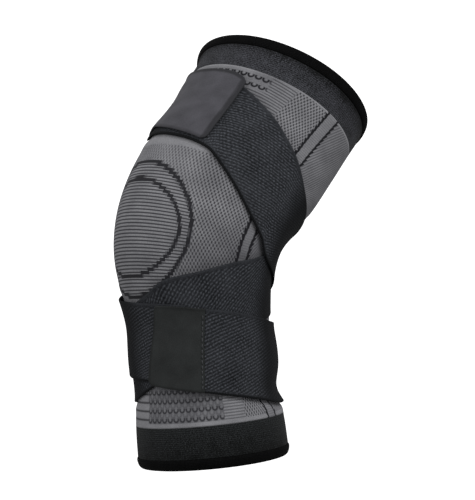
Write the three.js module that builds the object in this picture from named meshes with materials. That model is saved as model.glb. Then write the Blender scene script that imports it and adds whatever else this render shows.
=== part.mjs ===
// A knitted knee sleeve with two elastic straps, bent as it is worn.
// Millimetres, +Z up along the calf, the kneecap faces -Y, the outer side of the leg is +X.
// The origin is the centre of the knee, in the middle of the hollow that the leg fills.

import * as THREE from "three";

// Sizes of the tube, each set by itself.
const calfLength = 146;
const thighLength = 139;
const kneeBendDegrees = 39;
const kneeBendRadius = 190;
const calfEndDepth = 107;
const kneeDepth = 114;
const thighEndDepth = 131;
const kneecapRise = 15;
const kneecapReach = 60;
const kneecapLift = 5;
const kneeHollowDepth = 18.5;
const kneeHollowReach = 39;
const kneeHollowLift = 5;
const shinDipDepth = 4.5;
const shinDipReach = 20;
const shinDipDrop = 45;
const knitWall = 2.2;

// Sizes of the bands at the two ends.
const topCuffHeight = 25.5;
const bottomCuffHeight = 29.5;
const welt = { height: 7.5, wall: 3, rise: 0.3, round: 1 };

// Sizes of the straps and their fastening tabs.
const strapWidth = 50;
const strapThickness = 1.2;
const tabThickness = 1.4;
const tabCornerRadius = 4;

// Clearances.
const seamGap = 0.3;
const strapGap = 0.4;
const layerGap = 0.4;

// How finely round shapes are divided.
const sidesAround = 40;
const bodyRings = 30;
const strapStepDegrees = 9;
const strapDivisions = 6;

const radians = THREE.MathUtils.degToRad;

// Sections of the leg. place runs from -1 at the calf end over 0 at the knee to 1 at the thigh end,
// depth is a share of the named depth beside it, roundness is the width over the depth.
const sections = [
  { place: -1, of: calfEndDepth, depth: 1, roundness: 1 },
  { place: -0.77, of: calfEndDepth, depth: 0.97, roundness: 1.01 },
  { place: -0.66, of: calfEndDepth, depth: 0.915, roundness: 1.02 },
  { place: -0.5, of: kneeDepth, depth: 0.85, roundness: 1.03 },
  { place: -0.33, of: kneeDepth, depth: 0.85, roundness: 1.04 },
  { place: 0, of: kneeDepth, depth: 0.99, roundness: 1.06 },
  { place: 0.33, of: kneeDepth, depth: 1.055, roundness: 1.08 },
  { place: 0.66, of: thighEndDepth, depth: 0.945, roundness: 1.1 },
  { place: 1, of: thighEndDepth, depth: 1, roundness: 1.13 },
].map((row) => ({ ...row, halfDepth: (row.of * row.depth) / 2 }));

// The way of each strap round the leg. turn counts degrees from the front towards the outer side,
// middle is the place of the strap's middle line, height is its upright size over the strap's width.
const risingPath = [
  { turn: 45, middle: -0.425, height: 0.96 },
  { turn: 0, middle: -0.408, height: 0.94 },
  { turn: -32, middle: -0.39, height: 0.94 },
  { turn: -60, middle: -0.35, height: 0.96 },
  { turn: -90, middle: -0.284, height: 0.98 },
  { turn: -120, middle: -0.202, height: 0.98 },
  { turn: -150, middle: -0.116, height: 1 },
  { turn: -180, middle: -0.02, height: 1.04 },
  { turn: -209, middle: 0.05, height: 1.12 },
  { turn: -231, middle: 0.117, height: 1.2 },
  { turn: -251, middle: 0.18, height: 1.27 },
  { turn: -262, middle: 0.23, height: 1.31 },
  { turn: -271, middle: 0.291, height: 1.24 },
  { turn: -292, middle: 0.414, height: 1.09 },
  { turn: -308, middle: 0.486, height: 1 },
  { turn: -320, middle: 0.529, height: 0.98 },
  { turn: -346, middle: 0.565, height: 1.06 },
  { turn: -384, middle: 0.583, height: 1.04 },
];
const fallingPath = [
  { turn: 39.5, middle: 0.561, height: 1.04 },
  { turn: 30, middle: 0.577, height: 1.08 },
  { turn: 20, middle: 0.583, height: 1.07 },
  { turn: 0, middle: 0.595, height: 1.03 },
  { turn: -20, middle: 0.615, height: 1 },
  { turn: -50, middle: 0.572, height: 0.98 },
  { turn: -80, middle: 0.453, height: 1 },
  { turn: -110, middle: 0.295, height: 1 },
  { turn: -140, middle: 0.14, height: 1.02 },
  { turn: -180, middle: 0, height: 1.08 },
  { turn: -225, middle: -0.12, height: 1.02 },
  { turn: -258, middle: -0.181, height: 1.03 },
  { turn: -283, middle: -0.249, height: 1.03 },
  { turn: -303, middle: -0.306, height: 1.03 },
  { turn: -315, middle: -0.335, height: 1.07 },
  { turn: -328, middle: -0.366, height: 1.11 },
  { turn: -343, middle: -0.407, height: 1.07 },
  { turn: -375, middle: -0.476, height: 1.1 },
  { turn: -400, middle: -0.51, height: 1.06 },
  { turn: -450, middle: -0.548, height: 1.04 },
  { turn: -500, middle: -0.558, height: 1.06 },
  { turn: -540, middle: -0.553, height: 1.11 },
  { turn: -590, middle: -0.541, height: 1.2 },
  { turn: -612, middle: -0.516, height: 1.19 },
  { turn: -638, middle: -0.485, height: 1.16 },
  { turn: -660, middle: -0.463, height: 1.1 },
  { turn: -679, middle: -0.446, height: 1.06 },
  { turn: -709, middle: -0.422, height: 0.97 },
];

// How many layers lie under each strap as it goes round: 0 on the knit, 1 on one strap, 2 on two.
const risingLayers = [
  { turn: 45, under: 1 },
  { turn: -262, under: 1 },
  { turn: -288, under: 0 },
  { turn: -384, under: 0 },
];
const fallingLayers = [
  { turn: 39.5, under: 1 },
  { turn: -26, under: 1 },
  { turn: -42, under: 0 },
  { turn: -545, under: 0 },
  { turn: -572, under: 1 },
  { turn: -655, under: 1 },
  { turn: -669, under: 2 },
  { turn: -709, under: 2 },
];

// Where each strap piece starts and ends, in turns at its lower and its upper edge.
const risingEnds = { startLow: 45, startHigh: 45, endLow: -384, endHigh: -384, freeEnd: "none" };
const upperTabEnds = { startLow: 38, startHigh: 40, endLow: -38, endHigh: -38, freeEnd: "start" };
const lowerTabEnds = {
  startLow: -665,
  startHigh: -660.5,
  endLow: -708.5,
  endHigh: -697,
  freeEnd: "end",
};

// Smooth value of one column of a table between its rows, flat past its ends.
function column(rows, key, name, at) {
  const up = rows[rows.length - 1][key] > rows[0][key] ? 1 : -1;
  const place = (i) => up * rows[i][key];
  const x = THREE.MathUtils.clamp(up * at, place(0), place(rows.length - 1));
  let i = 0;
  while (i < rows.length - 2 && x > place(i + 1)) i++;
  const slope = (k) => {
    const a = Math.max(k - 1, 0);
    const b = Math.min(k + 1, rows.length - 1);
    return (rows[b][name] - rows[a][name]) / (place(b) - place(a));
  };
  const span = place(i + 1) - place(i);
  const t = (x - place(i)) / span;
  const near = (1 + 2 * t) * (1 - t) ** 2 * rows[i][name] + t * (1 - t) ** 2 * span * slope(i);
  const far = t * t * (3 - 2 * t) * rows[i + 1][name] - t * t * (1 - t) * span * slope(i + 1);
  return near + far;
}

// Value of a table of steps: level between rows of one value, with a soft ramp between two values.
function stepped(rows, name, turn) {
  const i = rows.findIndex((row, k) => k === rows.length - 2 || turn >= rows[k + 1].turn);
  const share = (rows[i].turn - turn) / (rows[i].turn - rows[i + 1].turn);
  return THREE.MathUtils.lerp(rows[i][name], rows[i + 1][name], THREE.MathUtils.smoothstep(share, 0, 1));
}

// Distance along the leg's middle line, from the knee, of a place in the tables.
const along = (place) => place * (place < 0 ? calfLength : thighLength);
const placeOf = (s) => (s < 0 ? s / calfLength : s / thighLength);

// The leg's middle line: straight up the calf, an arc at the knee, straight along the thigh.
const bend = radians(kneeBendDegrees);
const halfArc = (kneeBendRadius * bend) / 2;
const arcCentreDrop = kneeBendRadius * Math.sin(bend / 2);
const arcSpread = kneeBendRadius * (1 - Math.cos(bend / 2));

function middleLine(s) {
  const lean = THREE.MathUtils.clamp((s + halfArc) / kneeBendRadius, 0, bend);
  const past = s < -halfArc ? s + halfArc : Math.max(s - halfArc, 0);
  const y = kneeBendRadius * (1 - Math.cos(lean)) + past * Math.sin(lean) - arcSpread;
  const z = kneeBendRadius * Math.sin(lean) + past * Math.cos(lean) - arcCentreDrop;
  return { y, z, lean };
}

// Share of a dome's height at s, for a dome centred at lift whose slopes reach a little past reach.
const dome = (s, lift, reach) => Math.exp(-(((s - lift) / reach) ** 2));

// Point of the knit's outer face at s along the leg and an angle round it, 0 at the front.
function facePoint(s, angle) {
  const place = placeOf(s);
  const halfDepth = column(sections, "place", "halfDepth", place);
  const roundness = column(sections, "place", "roundness", place);
  const ahead = Math.cos(angle);
  const kneecap = kneecapRise * dome(s, kneecapLift, kneecapReach) * Math.max(ahead, 0) ** 1.5;
  const hollow = kneeHollowDepth * dome(s, kneeHollowLift, kneeHollowReach) * Math.max(-ahead, 0);
  const shinDip = shinDipDepth * dome(s, -shinDipDrop, shinDipReach) * Math.max(ahead, 0) ** 1.5;
  const forward = halfDepth * ahead + kneecap + hollow - shinDip;
  const { y, z, lean } = middleLine(s);
  return new THREE.Vector3(
    halfDepth * roundness * Math.sin(angle),
    y - forward * Math.cos(lean),
    z + forward * Math.sin(lean),
  );
}

// Point that stands off the knit's outer face, straight out, by the height out.
function point(s, angle, out) {
  const step = 0.01;
  const lengthwise = facePoint(s + step, angle).sub(facePoint(s - step, angle));
  const round = facePoint(s, angle + step / kneeDepth).sub(facePoint(s, angle - step / kneeDepth));
  const normal = round.cross(lengthwise).normalize();
  return facePoint(s, angle).addScaledVector(normal, out);
}

// A closed body from a grid of points, rows by columns. wrap closes the rows on themselves.
function closedGrid(grid, wrap) {
  const columns = grid[0].length;
  const positions = grid.flat().flatMap((p) => [p.x, p.y, p.z]);
  const index = [];
  const at = (i, j) => (i % grid.length) * columns + (j % columns);
  const spans = wrap ? grid.length : grid.length - 1;
  for (let i = 0; i < spans; i++) {
    for (let j = 0; j < columns; j++) {
      index.push(at(i, j), at(i + 1, j), at(i + 1, j + 1));
      index.push(at(i, j), at(i + 1, j + 1), at(i, j + 1));
    }
  }
  const geometry = new THREE.BufferGeometry();
  geometry.setAttribute("position", new THREE.Float32BufferAttribute(positions, 3));
  if (!wrap) {
    const half = columns / 2;
    for (let j = 0; j < half - 1; j++) {
      const k = columns - 1 - j;
      index.push(at(0, j), at(0, j + 1), at(0, k - 1), at(0, j), at(0, k - 1), at(0, k));
      const last = grid.length - 1;
      index.push(at(last, j), at(last, k), at(last, k - 1), at(last, j), at(last, k - 1), at(last, j + 1));
    }
  }
  geometry.setIndex(index);
  geometry.computeVertexNormals();
  return geometry;
}

// A band round the whole leg whose cut is a closed outline of points { s, out }.
function roundBand(outline) {
  const grid = [];
  for (let i = 0; i < sidesAround; i++) {
    const angle = (2 * Math.PI * i) / sidesAround;
    grid.push(outline.map(({ s, out }) => point(s, angle, out)));
  }
  return closedGrid(grid, true);
}

// The cut of a plain wall from one end to the other, with even rings on both faces.
function wallOutline(from, to, wall, rings) {
  const outline = [];
  for (let k = 0; k <= rings; k++) {
    outline.push({ s: THREE.MathUtils.lerp(from, to, k / rings), out: 0 });
  }
  for (let k = rings; k >= 0; k--) {
    outline.push({ s: THREE.MathUtils.lerp(from, to, k / rings), out: -wall });
  }
  return outline;
}

// The cut of a welt: a thick edge whose outer corners are rounded. side is -1 below, 1 above.
function weltOutline(end, side) {
  const inner = end - side * welt.height;
  const high = welt.rise;
  const low = -welt.wall;
  const cut = [
    { s: inner, out: high - welt.round },
    { s: inner + side * welt.round, out: high },
    { s: end - side * welt.round, out: high },
    { s: end, out: high - welt.round },
    { s: end, out: low + welt.round },
    { s: end - side * welt.round, out: low },
    { s: inner + side * welt.round, out: low },
    { s: inner, out: low + welt.round },
  ];
  return side > 0 ? cut : cut.reverse();
}

// Even shares of a strap piece's length, with a few closer ones where its free end is rounded.
function lengthShares(count, cornerShare, freeEnd) {
  const even = Array.from({ length: count + 1 }, (_, k) => k / count);
  if (freeEnd === "none") return even;
  const rounded = [0, cornerShare * 0.3, cornerShare];
  const shares = rounded.concat(even.filter((share) => share > cornerShare * 1.3));
  return freeEnd === "start" ? shares : shares.map((share) => 1 - share).reverse();
}

// A strap piece: a flat ribbon laid round the leg along its path, over the layers under it.
function strapPiece(path, layers, ends, thickness) {
  const length = Math.abs(ends.endLow - ends.startLow);
  const cornerShare = THREE.MathUtils.radToDeg(tabCornerRadius / (kneeDepth / 2)) / length;
  const shares = lengthShares(Math.ceil(length / strapStepDegrees), cornerShare, ends.freeEnd);

  const grid = shares.map((share) => {
    const outer = [];
    const inner = [];
    const fromFreeEnd = { none: 1, start: share / cornerShare, end: (1 - share) / cornerShare };
    const short = Math.max(1 - fromFreeEnd[ends.freeEnd], 0);
    const inset = tabCornerRadius * (1 - Math.sqrt(1 - short ** 2));
    for (let j = strapDivisions; j >= 0; j--) {
      const across = j / strapDivisions;
      const start = THREE.MathUtils.lerp(ends.startLow, ends.startHigh, across);
      const end = THREE.MathUtils.lerp(ends.endLow, ends.endHigh, across);
      const turn = THREE.MathUtils.lerp(start, end, share);
      const height = strapWidth * column(path, "turn", "height", turn) - 2 * inset;
      const s = along(column(path, "turn", "middle", turn)) + (across - 0.5) * height;
      const base = strapGap + stepped(layers, "under", turn) * (tabThickness + layerGap);
      outer.push(point(s, radians(turn), base + thickness));
      inner.push(point(s, radians(turn), base));
    }
    return outer.concat(inner.reverse());
  });
  return closedGrid(grid, false);
}

// A dull cloth, not metal.
function cloth(color, roughness) {
  return new THREE.MeshStandardMaterial({ color, roughness, metalness: 0 });
}

const greyKnit = cloth(0x67666c, 0.9);
const charcoalKnit = cloth(0x2f3134, 0.92);
const blackKnit = cloth(0x101112, 0.92);
const charcoalElastic = cloth(0x32363a, 0.85);
const hookFabric = cloth(0x43444a, 0.75);

const group = new THREE.Group();

function addPiece(name, geometry, material) {
  const mesh = new THREE.Mesh(geometry, material);
  mesh.name = name;
  group.add(mesh);
}

// The knitted tube and the bands at its ends, edge to edge with a small seam gap.
const topEnd = thighLength;
const bottomEnd = -calfLength;
const topCuffFoot = topEnd - topCuffHeight;
const bottomCuffHead = bottomEnd + bottomCuffHeight;
const cuffRings = 4;

addPiece(
  "sleeve_body",
  roundBand(wallOutline(bottomCuffHead, topCuffFoot, knitWall, bodyRings)),
  greyKnit,
);
addPiece(
  "top_cuff",
  roundBand(wallOutline(topCuffFoot + seamGap, topEnd - welt.height - seamGap, knitWall, cuffRings)),
  charcoalKnit,
);
addPiece("top_welt", roundBand(weltOutline(topEnd, 1)), blackKnit);
addPiece(
  "bottom_cuff",
  roundBand(wallOutline(bottomEnd + welt.height + seamGap, bottomCuffHead - seamGap, knitWall, cuffRings)),
  charcoalKnit,
);
addPiece("bottom_welt", roundBand(weltOutline(bottomEnd, -1)), blackKnit);

// The straps, and the tabs at the two ends of the falling strap, set against it with a seam gap.
const seamTurn = THREE.MathUtils.radToDeg(seamGap / (kneeDepth / 2));
const fallingEnds = {
  startLow: upperTabEnds.endLow - seamTurn,
  startHigh: upperTabEnds.endHigh - seamTurn,
  endLow: lowerTabEnds.startLow + seamTurn,
  endHigh: lowerTabEnds.startHigh + seamTurn,
  freeEnd: "none",
};

addPiece(
  "rising_strap",
  strapPiece(risingPath, risingLayers, risingEnds, strapThickness),
  charcoalElastic,
);
addPiece(
  "falling_strap",
  strapPiece(fallingPath, fallingLayers, fallingEnds, strapThickness),
  charcoalElastic,
);
addPiece(
  "upper_hook_tab",
  strapPiece(fallingPath, fallingLayers, upperTabEnds, tabThickness),
  hookFabric,
);
addPiece(
  "lower_hook_tab",
  strapPiece(fallingPath, fallingLayers, lowerTabEnds, tabThickness),
  hookFabric,
);

export default group;
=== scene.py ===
"""A knitted knee sleeve with two elastic straps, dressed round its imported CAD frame.

Sizes are millimetres, as in the part's source, and each mesh is turned to metres when it is made.
s is the distance along the leg's middle line, 0 at the knee, less down the calf and more up the
thigh. turn is the angle round the leg in degrees, 0 at the front, growing to the outer side.
"""

import logging
import math
from dataclasses import dataclass, field
from enum import Enum
from functools import partialmethod

import bpy
import numpy as np
from mathutils import Matrix, Vector


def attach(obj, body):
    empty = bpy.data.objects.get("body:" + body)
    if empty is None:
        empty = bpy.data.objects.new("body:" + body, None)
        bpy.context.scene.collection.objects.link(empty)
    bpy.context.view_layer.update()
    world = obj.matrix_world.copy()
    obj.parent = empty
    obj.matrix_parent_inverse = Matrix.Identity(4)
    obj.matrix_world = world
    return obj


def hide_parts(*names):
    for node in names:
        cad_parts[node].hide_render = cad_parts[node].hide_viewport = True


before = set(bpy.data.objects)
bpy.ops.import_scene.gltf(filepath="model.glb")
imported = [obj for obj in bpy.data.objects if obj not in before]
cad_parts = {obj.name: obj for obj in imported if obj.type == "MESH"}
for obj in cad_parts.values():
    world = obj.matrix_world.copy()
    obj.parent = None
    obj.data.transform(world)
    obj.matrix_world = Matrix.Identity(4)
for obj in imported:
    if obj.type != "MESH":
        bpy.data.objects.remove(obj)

Array = np.ndarray
Pair = tuple[float, float]
Object = bpy.types.Object
Material = bpy.types.Material
Socket = bpy.types.NodeSocket

MM = 0.001
BODY = "root"
# Degrees round the leg: the middle of the knitted pattern, and the side that the photo shows.
PATTERN_CENTRE = 12.6
SEEN_SIDE = 52.5
# Millimetres for each degree, about, on the knit and on the straps.
KNIT_DEGREE = 1.05
STRAP_DEGREE = 1.03
log = logging.getLogger("knee_sleeve")


def linear(hex_colour: str) -> tuple[float, float, float, float]:
    """Turns an sRGB colour to linear light.

    Args:
        hex_colour: Six hex digits, such as "67666c".

    Returns:
        Red, green, blue and alpha, as a shader takes them.
    """
    parts = [int(hex_colour[i : i + 2], 16) / 255 for i in (0, 2, 4)]
    light = [p / 12.92 if p <= 0.04045 else ((p + 0.055) / 1.055) ** 2.4 for p in parts]
    return (light[0], light[1], light[2], 1.0)


def smooth_column(rows: Array, values: Array, at: Array) -> Array:
    """Smooth value of a table's column between its rows, flat past its ends.

    Args:
        rows: The rows' places, rising or falling.
        values: The column's value in each row.
        at: Where it is wanted.

    Returns:
        The value at each place.
    """
    x = np.asarray(rows, float)
    y = np.asarray(values, float)
    at = np.asarray(at, float)
    if x[-1] < x[0]:
        x, at = -x, -at
    slope = np.empty_like(y)
    slope[1:-1] = (y[2:] - y[:-2]) / (x[2:] - x[:-2])
    slope[0] = (y[1] - y[0]) / (x[1] - x[0])
    slope[-1] = (y[-1] - y[-2]) / (x[-1] - x[-2])
    at = np.clip(at, x[0], x[-1])
    i = np.clip(np.searchsorted(x, at, side="right") - 1, 0, len(x) - 2)
    span = x[i + 1] - x[i]
    t = (at - x[i]) / span
    near = (1 + 2 * t) * (1 - t) ** 2 * y[i] + t * (1 - t) ** 2 * span * slope[i]
    far = t * t * (3 - 2 * t) * y[i + 1] - t * t * (1 - t) * span * slope[i + 1]
    return near + far


def soft_step(x: Array, low: float, high: float) -> Array:
    """Goes smoothly from 0 at low to 1 at high."""
    t = np.clip((np.asarray(x, float) - low) / (high - low), 0, 1)
    return t * t * (3 - 2 * t)


def ripple(x: Array, y: Array, seed: float) -> Array:
    """A slow unevenness from -1 to 1, the same on every run.

    Args:
        x: One coordinate, in units of about one ripple.
        y: The other coordinate.
        seed: Picks a different pattern.

    Returns:
        The unevenness at each point.
    """
    total = np.sin(1.7 * x + 0.9 * y + seed) + np.sin(0.8 * x - 1.9 * y + 2.3 * seed)
    total = total + np.sin(2.9 * x + 0.4 * y + 3.1 * seed) * 0.6
    return (total + np.sin(0.5 * x + 3.1 * y - seed) * 0.6) / 3.2


# Sections of the leg: place from the calf end to the thigh end, half depth, width over depth.
CALF_DEPTH, KNEE_DEPTH, THIGH_DEPTH = 107.0, 114.0, 131.0
SECTIONS = np.array(
    [
        (-1.0, CALF_DEPTH * 1.0 / 2, 1.0),
        (-0.77, CALF_DEPTH * 0.97 / 2, 1.01),
        (-0.66, CALF_DEPTH * 0.915 / 2, 1.02),
        (-0.5, KNEE_DEPTH * 0.85 / 2, 1.03),
        (-0.33, KNEE_DEPTH * 0.85 / 2, 1.04),
        (0.0, KNEE_DEPTH * 0.99 / 2, 1.06),
        (0.33, KNEE_DEPTH * 1.055 / 2, 1.08),
        (0.66, THIGH_DEPTH * 0.945 / 2, 1.1),
        (1.0, THIGH_DEPTH * 1.0 / 2, 1.13),
    ]
)


@dataclass(frozen=True)
class Press:
    """A place where the tight straps press the knit in, with its reach and depth in mm."""

    s: float
    reach: float
    turn: float
    turn_reach: float
    depth: float

    def at(self, s: Array, turn: Array) -> Array:
        """How deep the cloth is pressed in at each point.

        Args:
            s: Places along the leg.
            turn: Angles round the leg, in degrees.

        Returns:
            The depths, in millimetres.
        """
        round_off = (turn - self.turn + 180.0) % 360.0 - 180.0
        along = ((s - self.s) / self.reach) ** 2
        return self.depth * np.exp(-along - (round_off / self.turn_reach) ** 2)


@dataclass(frozen=True)
class LegForm:
    """The form that the knit is stretched over: a bent leg with a kneecap and a knee hollow."""

    calf_length: float = 146.0
    thigh_length: float = 139.0
    bend_degrees: float = 39.0
    bend_radius: float = 190.0
    kneecap_rise: float = 15.0
    kneecap_reach: float = 60.0
    kneecap_lift: float = 5.0
    hollow_depth: float = 18.5
    hollow_reach: float = 39.0
    hollow_lift: float = 5.0
    shin_dip_depth: float = 4.5
    shin_dip_reach: float = 20.0
    shin_dip_drop: float = 45.0
    presses: tuple[Press, ...] = (
        Press(86.0, 28.0, -40.0, 32.0, 4.3),
        Press(109.0, 8.0, -40.0, 30.0, 2.6),
        Press(127.0, 8.0, -42.0, 34.0, 3.2),
        Press(-99.0, 12.0, 138.0, 46.0, 4.0),
    )

    def along(self, place: Array) -> Array:
        """Distance along the middle line of a place in the tables."""
        return place * np.where(np.asarray(place) < 0, self.calf_length, self.thigh_length)

    def face(self, s: Array, turn: Array) -> Array:
        """Points of the knit's outer face.

        Args:
            s: Distance along the leg.
            turn: Angle round it, in degrees.

        Returns:
            One point for each pair, in millimetres.
        """
        place = np.where(s < 0, s / self.calf_length, s / self.thigh_length)
        half = smooth_column(SECTIONS[:, 0], SECTIONS[:, 1], place)
        roundness = smooth_column(SECTIONS[:, 0], SECTIONS[:, 2], place)
        angle = np.radians(turn)
        ahead = np.cos(angle)
        cap = self.kneecap_rise * np.exp(-(((s - self.kneecap_lift) / self.kneecap_reach) ** 2))
        dip = self.hollow_depth * np.exp(-(((s - self.hollow_lift) / self.hollow_reach) ** 2))
        shin = self.shin_dip_depth * np.exp(-(((s + self.shin_dip_drop) / self.shin_dip_reach) ** 2))
        front = (cap - shin) * np.maximum(ahead, 0) ** 1.5
        forward = half * ahead + front + dip * np.maximum(-ahead, 0)
        bend = math.radians(self.bend_degrees)
        radius = self.bend_radius
        half_arc = radius * bend / 2
        lean = np.clip((s + half_arc) / radius, 0, bend)
        past = np.where(s < -half_arc, s + half_arc, np.maximum(s - half_arc, 0))
        y = radius * (1 - np.cos(lean)) + past * np.sin(lean) - radius * (1 - math.cos(bend / 2))
        z = radius * np.sin(lean) + past * np.cos(lean) - radius * math.sin(bend / 2)
        across = half * roundness * np.sin(angle)
        return np.stack([across, y - forward * np.cos(lean), z + forward * np.sin(lean)], -1)

    def point(self, s: Array, turn: Array, out: Array) -> Array:
        """Points that stand off the knit's outer face, straight out.

        Args:
            s: Distance along the leg.
            turn: Angle round it, in degrees.
            out: Height over the face, less than 0 for inside.

        Returns:
            One point for each set of values, in millimetres.
        """
        s, turn, out = np.broadcast_arrays(*(np.asarray(a, float) for a in (s, turn, out)))
        up = self.face(s + 0.05, turn) - self.face(s - 0.05, turn)
        around = self.face(s, turn + 0.05) - self.face(s, turn - 0.05)
        normal = np.cross(around, up)
        normal /= np.linalg.norm(normal, axis=-1, keepdims=True)
        height = out - sum(press.at(s, turn) for press in self.presses)
        return self.face(s, turn) + normal * height[..., None]


class FreeEnd(Enum):
    """Which end of a strap piece is cut free, with rounded corners."""

    NONE = "none"
    START = "start"
    END = "end"


class Lie(Enum):
    STRETCHED = "stretched"
    LAID = "laid"


@dataclass(frozen=True)
class StrapPath:
    """The way of a strap round the leg, as tables over turn.

    way has rows of turn, place of the middle line and upright size over the strap's width.
    layers has rows of turn and how many layers lie under the strap.
    twill has rows of turn, the angle of the weave's ribs to the strap and their spacing.
    """

    way: tuple[tuple[float, float, float], ...]
    layers: tuple[Pair, ...]
    twill: tuple[tuple[float, float, float], ...]
    width: float = 50.0
    gap: float = 0.4
    layer: float = 1.8

    def middle(self, leg: LegForm, turn: Array) -> Array:
        """Distance along the leg of the strap's middle line."""
        rows = np.array(self.way)
        return leg.along(smooth_column(rows[:, 0], rows[:, 1], turn))

    def height(self, turn: Array) -> Array:
        """Upright size of the strap."""
        rows = np.array(self.way)
        return self.width * smooth_column(rows[:, 0], rows[:, 2], turn)

    def base(self, turn: Array) -> Array:
        """Height of the strap's inner face over the knit.

        Args:
            turn: Angles along the strap's way, in degrees.

        Returns:
            The heights, in millimetres.
        """
        rows = np.array(self.layers)
        turn = np.asarray(turn, float)
        i = np.clip(np.searchsorted(-rows[:, 0], -turn, side="right") - 1, 0, len(rows) - 2)
        share = (rows[i, 0] - turn) / (rows[i, 0] - rows[i + 1, 0])
        t = soft_step(share, 0, 1)
        under = rows[i, 1] + (rows[i + 1, 1] - rows[i, 1]) * t
        return self.gap + under * self.layer


RISING = StrapPath(
    way=(
        (45, -0.425, 0.96), (0, -0.408, 0.94), (-32, -0.39, 0.94), (-60, -0.35, 0.96),
        (-90, -0.284, 0.98), (-120, -0.202, 0.98), (-150, -0.116, 1.0), (-180, -0.02, 1.04),
        (-209, 0.05, 1.12), (-231, 0.117, 1.2), (-251, 0.18, 1.27), (-262, 0.23, 1.31),
        (-271, 0.291, 1.24), (-292, 0.414, 1.09), (-308, 0.486, 1.0), (-320, 0.529, 0.98),
        (-346, 0.565, 1.06), (-384, 0.583, 1.04),
    ),
    layers=((45, 1), (-262, 1), (-288, 0), (-384, 0)),
    twill=((45, 17, 1.65), (-60, 22, 1.8), (-292, 33.5, 1.84), (-346, 33.5, 1.9)),
)
FALLING = StrapPath(
    way=(
        (39.5, 0.561, 1.04), (30, 0.577, 1.08), (20, 0.583, 1.07), (0, 0.595, 1.03),
        (-20, 0.615, 1.0), (-50, 0.572, 0.98), (-80, 0.453, 1.0), (-110, 0.295, 1.0),
        (-140, 0.14, 1.02), (-180, 0.0, 1.08), (-225, -0.12, 1.02), (-258, -0.181, 1.03),
        (-283, -0.249, 1.03), (-303, -0.306, 1.03), (-315, -0.335, 1.07),
        (-328, -0.366, 1.11), (-343, -0.407, 1.07), (-375, -0.476, 1.1), (-400, -0.51, 1.06),
        (-450, -0.548, 1.04), (-500, -0.558, 1.06), (-540, -0.553, 1.11), (-590, -0.541, 1.2),
        (-612, -0.516, 1.19), (-638, -0.485, 1.16), (-660, -0.463, 1.1), (-679, -0.446, 1.06),
        (-709, -0.422, 0.97),
    ),
    layers=((39.5, 1), (-26, 1), (-42, 0), (-545, 0), (-572, 1), (-655, 1), (-669, 2), (-709, 2)),
    twill=((39.5, 30, 1.9), (-300, 28, 2.0), (-640, 26, 2.19), (-709, 26, 2.19)),
)


# Each strap with the turns at which it starts and ends.
STRAP_SPANS = ((RISING, 45.0, -384.0), (FALLING, 39.5, -708.0))


def strap_distance(
    leg: LegForm,
    s: Array,
    turn: Array,
    spans: tuple[tuple[StrapPath, float, float], ...] = STRAP_SPANS,
) -> Array:
    """Distance from the nearest strap edge over the knit, less than 0 under a strap.

    Args:
        leg: The form.
        s: Distance along the leg.
        turn: Angle round it, in degrees.
        spans: Each strap's path with its first and its last turn.

    Returns:
        Millimetres for each point.
    """
    nearest = np.full(np.broadcast(s, turn).shape, 99.0)
    for path, first, last in spans:
        for revolution in range(-2, 2):
            at = turn + 360.0 * revolution
            aside = np.maximum(at - first, last - at) * KNIT_DEGREE
            slope = (path.middle(leg, at + 1) - path.middle(leg, at - 1)) / (2 * KNIT_DEGREE)
            over = (np.abs(s - path.middle(leg, at)) - path.height(at) / 2) / np.hypot(1, slope)
            nearest = np.minimum(nearest, np.maximum(over, aside))
    return nearest


def knit_relief(leg: LegForm, s: Array, turn: Array) -> Array:
    """How far the knit stands off its plain form: swelled beside the straps, creased behind.

    Args:
        leg: The form.
        s: Distance along the leg.
        turn: Angle round it, in degrees.

    Returns:
        Height for each point, in millimetres.
    """
    away = strap_distance(leg, s, turn)
    free = soft_step(away, -0.5, 3.0)
    swell = 0.55 * np.exp(-(((away - 4.5) / 3.5) ** 2)) * free
    behind = soft_step(-np.cos(np.radians(turn)), 0.25, 0.95) * np.exp(-(((s - 4) / 34) ** 2))
    bowed = s + 5 * np.cos(np.radians(turn) * 2) + 2 * ripple(turn / 25, s / 30, 1.3)
    crease = np.sin(bowed * 2 * np.pi / 10.5)
    creases = behind * 0.9 * (np.abs(crease) ** 0.7 * np.sign(crease)) * free
    waver = 0.22 * ripple(turn / 24, s / 17, 0.4) * free
    return swell + creases + waver - 0.15 * (1 - free)


def add_object(name: str, data: bpy.types.ID) -> Object:
    """Adds an object to the scene.

    Args:
        name: Its name.
        data: Its mesh, light or camera.

    Returns:
        The new object.
    """
    made = bpy.data.objects.new(name, data)
    bpy.context.scene.collection.objects.link(made)
    return made


def mesh_object(
    name: str, points: Array, faces: list[list[int]], corner_uv: Array | None = None
) -> Object:
    """Makes an object in the scene.

    Args:
        name: The object's name.
        points: Its points, in millimetres.
        faces: The points of each face.
        corner_uv: Cloth coordinates of each face corner, for a piece of cloth.

    Returns:
        The object.
    """
    mesh = bpy.data.meshes.new(name)
    mesh.from_pydata((points * MM).tolist(), [], faces)
    if corner_uv is not None:
        mesh.uv_layers.new(name="cloth").data.foreach_set("uv", corner_uv.ravel())
        mesh.polygons.foreach_set("use_smooth", [True] * len(faces))
    mesh.update()
    return add_object(name, mesh)


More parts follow.
